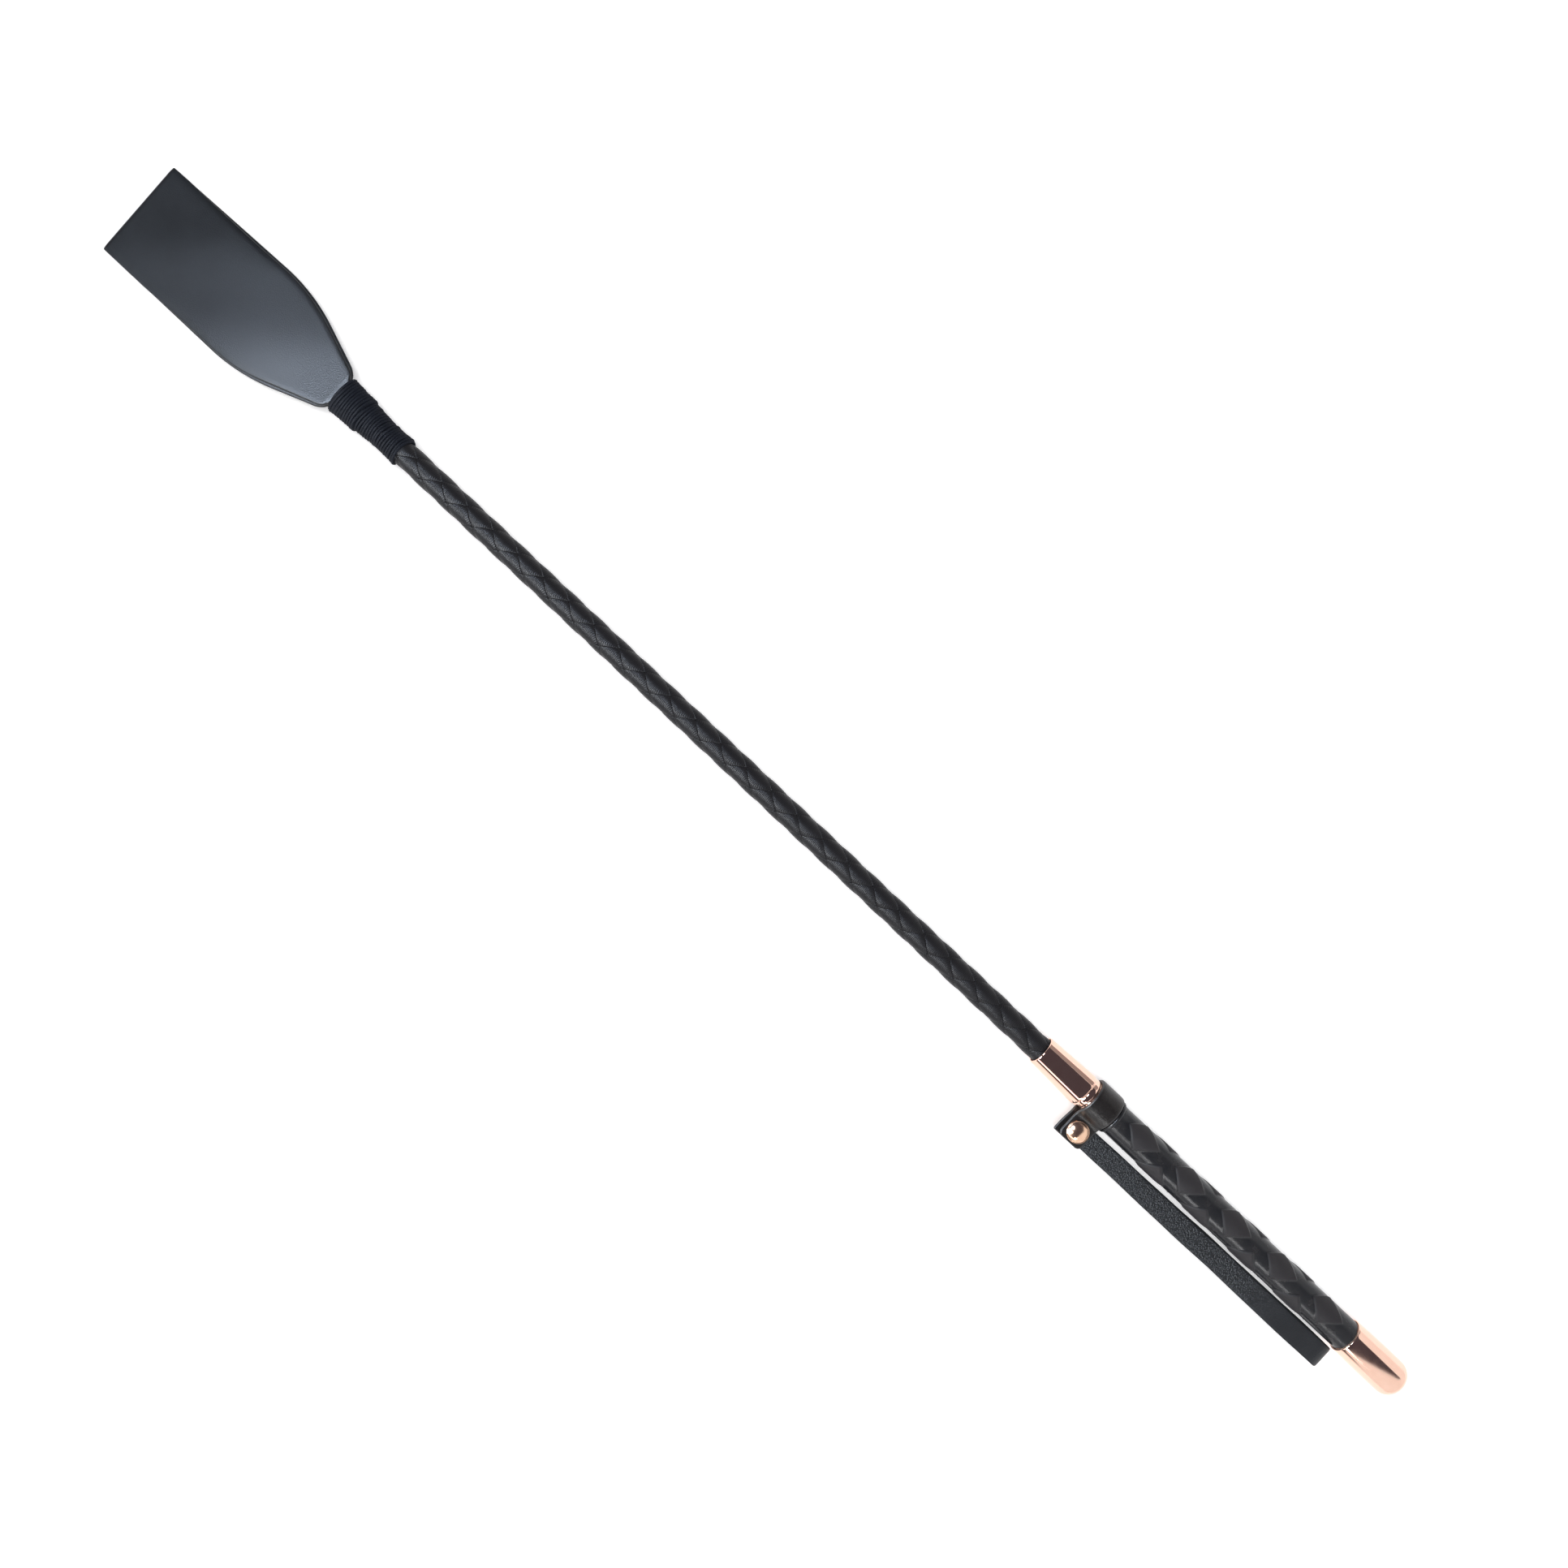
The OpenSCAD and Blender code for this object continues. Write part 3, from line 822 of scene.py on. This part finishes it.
def make_cap():
    x0, x1 = CAP[0][0], CAP[1][0]
    mouth_r, cap_r, plug_r = 6.6, CAP[1][1], 5.6
    dome = 5.0
    straight = x1 - dome
    bore_end = box_mm("cap_plug")[1][0] + 0.1
    lip = 0.3
    profile = [(x0 + 0.25, plug_r)]
    profile += arc((x0 + lip, mouth_r - lip), (lip, lip), 200, 92, 6)
    fullest = 17.0
    body_x = np.linspace(0.8, straight - x0, 24)
    body_r = cap_r - (cap_r - mouth_r) * ((body_x - fullest) / fullest) ** 2
    profile += list(zip(x0 + body_x, body_r))
    profile += [
        (straight + dome * math.sin(a), max(body_r[-1] * math.cos(a) ** 0.82, 0))
        for a in np.linspace(0, math.pi / 2, 28)[1:]
    ]
    profile += [(bore_end, 0), (bore_end, plug_r), (x0 + 0.25, plug_r)]
    points, quads = lathe(profile, (0, AXIS_Z))
    make_piece("end_cap_polished", points, quads, [rose_gold], "crop", "rose_gold", ["end_cap"])


make_ferrule()
make_cap()


# ---------------------------------------------------------------- grip


def make_grip():
    """A moulded sleeve with rows of raised diamonds and a bead at the collar's end."""
    x0, x1 = GRIP[0][0], GRIP[1][0]
    grip_r, bore_r, bead_r, bead_reach = 6.0, 4.53, 0.75, 0.75
    pitch, half_length, half_angle, pad_h = 22.0, 7.6, 62.0, 0.36
    across, step = 232, 0.34
    x = np.arange(x0, x1, step)
    x = np.unique(np.concatenate([x, np.linspace(x0, x0 + 2.2, 26), [x1 - 0.2, x1 - 0.1, x1]]))
    angle = np.arange(across) * 360 / across
    raised = np.zeros((len(x), across))
    for column, middle in enumerate((24, 114, 204, 294)):
        turned = (angle - middle + 180) % 360 - 180
        shift = pitch / 2 if column % 2 else 0
        first = x0 + 12 + shift
        for i in range(5 - column % 2):
            away = np.abs(x - first - i * pitch)[:, None] / half_length
            inside = 1 - away - np.abs(turned)[None, :] / half_angle
            raised = np.maximum(raised, smooth(inside / 0.17))
    bead = np.sqrt(np.clip(bead_r**2 - (x - x0 - bead_r) ** 2, 0, None))
    end_round = 0.15 * smooth((x - x1 + 0.25) / 0.25)
    radius = grip_r + pad_h * raised - end_round[:, None]
    radius = np.maximum(radius, (grip_r + bead_reach / bead_r * bead)[:, None])
    # the moulding's face by the collar turns in smoothly behind the bead
    neck = smooth((x - x0 - 1.2) / 2.5)[:, None]
    radius = radius + 0.12 * (1 - neck) * (x[:, None] > x0 + 1.4)
    radius = radius + 0.025 * np.sin(x / 9.0)[:, None]
    theta = np.radians(angle)
    outer = np.stack(
        [
            np.broadcast_to(x[:, None], radius.shape),
            radius * np.sin(theta),
            AXIS_Z + radius * np.cos(theta),
        ],
        axis=-1,
    )
    inner_x = np.array([x1, x0, x0])
    inner_r = np.array([bore_r, bore_r, grip_r])
    inner = np.stack(
        [
            np.broadcast_to(inner_x[:, None], (3, across)),
            inner_r[:, None] * np.sin(theta),
            AXIS_Z + inner_r[:, None] * np.cos(theta),
        ],
        axis=-1,
    )
    points = np.concatenate([outer, inner])
    share = np.concatenate([raised, np.zeros((3, across))])
    make_piece(
        "grip_moulding",
        points,
        grid_quads(len(points), across),
        [rubber_material()],
        "crop",
        "grip_rubber",
        ["grip"],
        share=share,
    )


make_grip()


# ---------------------------------------------------------------- collar and rivet


def make_collar():
    """The band round the neck, whose two ends leave it through a bend as one tab."""
    middle_r, bend, tab_z = 6.75, 3.7, 2.07
    bend_y = -8.71
    bend_z = tab_z + bend
    meet = math.atan2(bend_z, -bend_y)
    upper = [(y, tab_z) for y in np.linspace(COLLAR[0][1], bend_y, 30)]
    upper += [
        (bend_y + bend * math.cos(a), bend_z + bend * math.sin(a))
        for a in np.linspace(-math.pi / 2, -meet, 16)[1:]
    ]
    band = [
        (middle_r * math.cos(a), middle_r * math.sin(a))
        for a in np.linspace(math.pi - meet, meet - math.pi, 90)[1:-1]
    ]
    lower = [(y, -z) for y, z in upper[::-1]]
    path = [(y, z + AXIS_Z) for y, z in upper + band + lower]
    length = path_length(path)
    edge = 0.45
    stations = stations_for(length, 0.45, edge)
    place, direction = along(path, stations)
    half = (COLLAR[1][0] - COLLAR[0][0]) / 2
    middle_x = (COLLAR[1][0] + COLLAR[0][0]) / 2
    inward = np.minimum(stations, length - stations)
    corner = np.where(stations < length / 2, 2.2, 0.7)
    past_corner = np.clip(corner - inward, 0, None)
    cut = 0.9 * (corner - np.sqrt(np.clip(corner**2 - past_corner**2, 0, None)))
    reach = np.stack([half - cut, half - cut], axis=1)
    thickness = rounded_ends(stations, length, 1.4, edge)
    # the lower end of the strip lies a little askew under the upper one
    on_tab = smooth((stations - length + 14) / 10)
    askew = -0.75 * on_tab

    def to_space(in_plane, across):
        x = middle_x + across + askew[:, None]
        y = in_plane[..., 0] - 0.25 * on_tab[:, None]
        return np.stack([x, y, in_plane[..., 1]], axis=-1)

    points, quads, skin, paint = strip(place, direction, reach, thickness, edge, 22, to_space)
    make_piece(
        "collar_band",
        points,
        quads,
        [collar_grain, glossy_edge],
        "collar",
        "strap_leather",
        ["wrist_collar"],
        skin=skin,
        paint=paint,
    )


def make_rivet(name, node, facing):
    """A domed cap with a rolled rim, and the post that goes through the leather."""
    low, high = box_mm(node)
    centre = (low[:2] + high[:2]) / 2
    radius = (high[0] - low[0]) / 2
    cap_h, groove_h, rim = 1.9, 0.5, 0.3
    outer_z, inner_z = (high[2], low[2]) if facing > 0 else (low[2], high[2])
    foot = outer_z - facing * cap_h
    post_end = -facing * (foot - inner_z)
    # the cap's post goes into the base's hollow stem
    post_r = 1.2 if facing > 0 else 1.69
    profile = [(post_end, 0), (post_end, post_r), (0, post_r)]
    profile += [(0, radius - rim)]
    profile += [
        (rim + rim * math.sin(a), radius - rim + rim * math.cos(a))
        for a in np.linspace(-math.pi / 2, math.pi * 0.42, 12)
    ]
    groove_r = radius - rim - 0.12
    profile += [(groove_h, groove_r + 0.05), (groove_h, groove_r)]
    dome_h = cap_h - groove_h
    sphere_r = (groove_r**2 + dome_h**2) / (2 * dome_h)
    limit = math.asin(min(groove_r / sphere_r, 1))
    profile += [
        (groove_h + dome_h - sphere_r * (1 - math.cos(a)), sphere_r * math.sin(a))
        for a in np.linspace(limit * 0.96, 0, 18)
    ]
    points, quads = lathe(profile, (0, 0), 96)
    along_z, side, other = points[..., 0], points[..., 1], points[..., 2]
    points = np.stack(
        [centre[0] + side, centre[1] + other, foot + facing * along_z], axis=-1
    )
    make_piece(name, points, quads, [rivet_gold], "collar", "rivet_metal", [node])


make_collar()


# ---------------------------------------------------------------- wrist strap


def make_strap():
    """A strap folded on itself: both ends on the rivet, the fold at the cap's end."""
    toe_in = math.radians(0.4)
    rivet = (RIVET[0][:2] + RIVET[1][:2]) / 2
    strap_t, tail, flat_u, settle_u = 1.3, 4.0, 7.6, 62.0
    run_z, top_z, low_z = 0.67, 2.6, 6.71
    fold_r = (top_z + low_z) / 2
    fold_u = 113.98

    def upper_z(u):
        return run_z + (top_z - run_z) * smooth((u - flat_u) / (fold_u - flat_u))

    def lower_z(u):
        return -run_z - (low_z - run_z) * smooth((u - flat_u) / (settle_u - flat_u))

    us = np.linspace(-tail, fold_u, 150)
    path = [(u, float(upper_z(u))) for u in us]
    path += [
        (fold_u + fold_r * math.sin(a), top_z - fold_r + fold_r * math.cos(a))
        for a in np.linspace(0, math.pi, 30)[1:-1]
    ]
    path += [(u, float(lower_z(u))) for u in us[::-1]]
    length = path_length(path)
    edge = 0.4
    stations = stations_for(length, 0.55, edge)
    place, direction = along(path, stations)
    u = place[:, 0]
    inward = np.minimum(stations, length - stations)
    tail_cut = 4 - np.sqrt(np.clip(16 - np.clip(4 - inward, 0, None) ** 2, 0, None))
    half = 4.0 + 0.3 * smooth(u / fold_u) - np.minimum(tail_cut, 3.2)
    wander = waves(stations, 21, 0.07, (37, 61, 23))
    reach = np.stack([half + wander, half - wander], axis=1)
    thickness = rounded_ends(stations, length, strap_t, edge)
    sideways = waves(u, 22, 0.18, (83, 131)) * smooth((u - 8) / 30)
    ripple = waves(stations, 23, 0.05, (9, 14, 21)) * smooth((u - 8) / 10)

    def to_space(in_plane, across):
        v = across + sideways[:, None]
        z = in_plane[..., 1] + ripple[:, None]
        x = rivet[0] + in_plane[..., 0] * math.cos(toe_in) - v * math.sin(toe_in)
        y = rivet[1] + in_plane[..., 0] * math.sin(toe_in) + v * math.cos(toe_in)
        return np.stack([x, y, AXIS_Z + z], axis=-1)

    points, quads, skin, paint = strip(place, direction, reach, thickness, edge, 18, to_space)
    # the pebbles are stretched nearly flat where the strap turns, and their painted crease
    # shade fades there
    grain_left = 1 - 0.85 * smooth((u - 66) / 36)
    make_piece(
        "wrist_loop_strap",
        points,
        quads,
        [strap_grain, painted_edge],
        "wrist_loop",
        "strap_leather",
        ["wrist_strap"],
        skin=skin,
        paint=paint,
        share=np.broadcast_to(grain_left[:, None], points.shape[:2]),
    )


make_strap()
make_rivet("rivet_cap_domed", "rivet_cap", 1)
make_rivet("rivet_base_domed", "rivet_base", -1)


# ---------------------------------------------------------------- pieces kept from CAD


def finish_node(node, material):
    """Give a CAD node that keeps its shape a better material."""
    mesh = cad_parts[node].data
    mesh.materials.clear()
    mesh.materials.append(material)


plastic = plain_material("plain_plastic", (0.62, 0.60, 0.54), (0.70, 0.68, 0.62), 0.45)
finish_node("ferrule_bush", plastic)
finish_node("cap_plug", plastic)
finish_node(
    "core_rod",
    plain_material(
        "fibreglass",
        (0.55, 0.53, 0.42),
        (0.70, 0.68, 0.56),
        rough=0.35,
        scale=2600.0,
        stretch=(0.02, 1, 1),
    ),
)
finish_node(
    "core_padding",
    plain_material("filler", (0.010, 0.010, 0.011), (0.02, 0.02, 0.02), 0.7),
)
finish_node(
    "handle_tube",
    plain_material(
        "tube_metal",
        (0.50, 0.51, 0.53),
        (0.62, 0.63, 0.65),
        rough=0.32,
        scale=1800.0,
        metallic=1.0,
        stretch=(0.03, 1, 1),
    ),
)
finish_node(
    "butt_binding",
    plain_material(
        "binding",
        (0.008, 0.010, 0.016),
        (0.03, 0.035, 0.05),
        rough=0.6,
        scale=1500.0,
        stretch=(1, 0.1, 0.1),
    ),
)


# ---------------------------------------------------------------- floor and light


def make_floor():
    """A plain pale floor that glows a little."""
    reach = 3.0
    mesh = bpy.data.meshes.new("floor")
    mesh.from_pydata(
        [(-reach, -reach, 0), (reach, -reach, 0), (reach, reach, 0), (-reach, reach, 0)],
        [],
        [(0, 1, 2, 3)],
    )
    floor = bpy.data.objects.new("floor", mesh)
    bpy.context.scene.collection.objects.link(floor)
    n = Nodes("floor_white")
    # the lamps reach only the middle, so the floor glows more towards its edges
    away = n.add("ShaderNodeVectorMath", {0: n.place()}, operation="LENGTH").outputs["Value"]
    n.set(
        Base_Color=(0.86, 0.86, 0.86),
        Roughness=0.9,
        Specular_IOR_Level=0.1,
        Emission_Color=(1.0, 1.0, 1.0),
        Emission_Strength=n.fit(away, 0.6, 1.9, 0.35, 0.95, smoothed=True),
    )
    mesh.materials.append(n.material)


def make_backdrop():
    """A plain white tent round the floor, which only the camera sees. The lamps and the
    world light the crop as if it were not there."""
    mesh = bpy.data.meshes.new("backdrop")
    work = bmesh.new()
    bmesh.ops.create_uvsphere(work, u_segments=48, v_segments=24, radius=2.9)
    low = [v for v in work.verts if v.co.z < -0.02]
    bmesh.ops.delete(work, geom=low, context="VERTS")
    work.to_mesh(mesh)
    work.free()
    tent = bpy.data.objects.new("backdrop", mesh)
    bpy.context.scene.collection.objects.link(tent)
    n = Nodes("backdrop_white", "ShaderNodeEmission")
    n.set(Color=(1.0, 1.0, 1.0), Strength=1.0)
    mesh.materials.append(n.material)
    for kind in ("diffuse", "glossy", "transmission", "volume_scatter", "shadow"):
        setattr(tent, "visible_" + kind, False)


def make_light(name, place, aim, size, strength, colour=(1, 1, 1), only=None):
    """A rectangular lamp. It can be for one kind only: the diffuse light that makes the
    floor white, or a glossy highlight that leaves the floor alone."""
    data = bpy.data.lights.new(name, "AREA")
    data.shape = "RECTANGLE"
    data.size, data.size_y = size
    data.energy = strength
    data.color = colour
    lamp = bpy.data.objects.new(name, data)
    bpy.context.scene.collection.objects.link(lamp)
    back = np.array(place, float) - np.array(aim, float)
    back /= np.linalg.norm(back)
    x = np.array((1.0, 0.0, 0.0))
    y = np.cross(back, x)
    y /= np.linalg.norm(y)
    x = np.cross(y, back)
    matrix = np.eye(4)
    matrix[:3, 0], matrix[:3, 1], matrix[:3, 2], matrix[:3, 3] = x, y, back, place
    lamp.matrix_world = Matrix(matrix.tolist())
    lamp.visible_camera = False
    lamp.visible_glossy = only != "diffuse"
    lamp.visible_diffuse = only != "glossy"
    data.use_shadow = only == "diffuse"


def make_world():
    """A dark studio overhead. White begins to one side of the end cap's view and low
    down all round, with a grey band on one long side and a dark one on the other."""
    world = bpy.data.worlds.new("studio")
    bpy.context.scene.world = world
    n = Nodes(world, "ShaderNodeBackground", "ShaderNodeOutputWorld")
    where = n.add("ShaderNodeTexCoord").outputs["Generated"]
    parts = n.add("ShaderNodeSeparateXYZ", {"Vector": where}).outputs
    x, y, z = parts["X"], parts["Y"], parts["Z"]
    right = n.sum(n.sum(x, n.sum(y, 11.3, "DIVIDE"), "SUBTRACT"), 0.545, "SUBTRACT")
    cut = n.sum(n.sum(x, 0.24, "SUBTRACT"), 0.0, "MAXIMUM")
    top = n.sum(n.sum(y, cut), 0.84, "SUBTRACT")
    bottom = n.sum(n.sum(y, -1.0, "MULTIPLY"), 0.83, "SUBTRACT")
    outside = n.sum(n.sum(right, top, "MAXIMUM"), bottom, "MAXIMUM")
    bright = n.fit(outside, -0.004, 0.004, 0.0, 1.0, smoothed=True)
    low = n.fit(z, 0.10, 0.15, 1.0, 0.0, smoothed=True)
    middle = n.fit(n.sum(x, 0.0, "ABSOLUTE"), 0.36, 0.46, 1.0, 0.0, smoothed=True)
    far_band = n.sum(middle, n.fit(y, 0.82, 0.85, 0.0, 1.0), "MULTIPLY")
    far_band = n.sum(far_band, n.fit(z, -0.01, 0.03, 0.0, 1.0), "MULTIPLY")
    before_cap = n.fit(n.sum(x, 0.0, "ABSOLUTE"), 0.50, 0.53, 1.0, 0.0, smoothed=True)
    near_band = n.sum(before_cap, n.fit(y, -0.82, -0.85, 0.0, 1.0), "MULTIPLY")
    near_band = n.sum(near_band, n.fit(z, 0.09, 0.12, 0.0, 1.0), "MULTIPLY")
    share = n.sum(bright, low, "MAXIMUM")
    colour = n.blend(share, (0.070, 0.064, 0.080), (1.0, 1.0, 1.0))
    colour = n.blend(far_band, colour, (0.34, 0.32, 0.33))
    colour = n.blend(near_band, colour, (0.10, 0.08, 0.085))
    n.join(colour, n.shader.inputs["Color"])


make_floor()
make_backdrop()
make_world()
COOL, BLUE = (0.9, 0.95, 1.0), (0.72, 0.83, 1.0)
make_light("overhead", (0, 0, 2.0), (0, 0, 0), (2.0, 0.8), 31, only="diffuse")
make_light("strip_near", (-0.04, -0.82, 0.38), (-0.04, 0, 0), (1.32, 0.12), 1.55)
make_light("grip_shine", (0.68, -0.80, 0.585), (0.22, 0, 0), (0.24, 0.16), 1.7)
make_light("ribs", (-0.42, -0.70, 0.76), (0, 0, 0), (0.5, 0.4), 22, COOL, only="glossy")
make_light(
    "flapper_sheen",
    (-0.46, -0.10, 0.78),
    (-0.25, 0, 0),
    (0.25, 0.25),
    7.6,
    BLUE,
    only="glossy",
)
bpy.context.scene.view_settings.view_transform = "Standard"
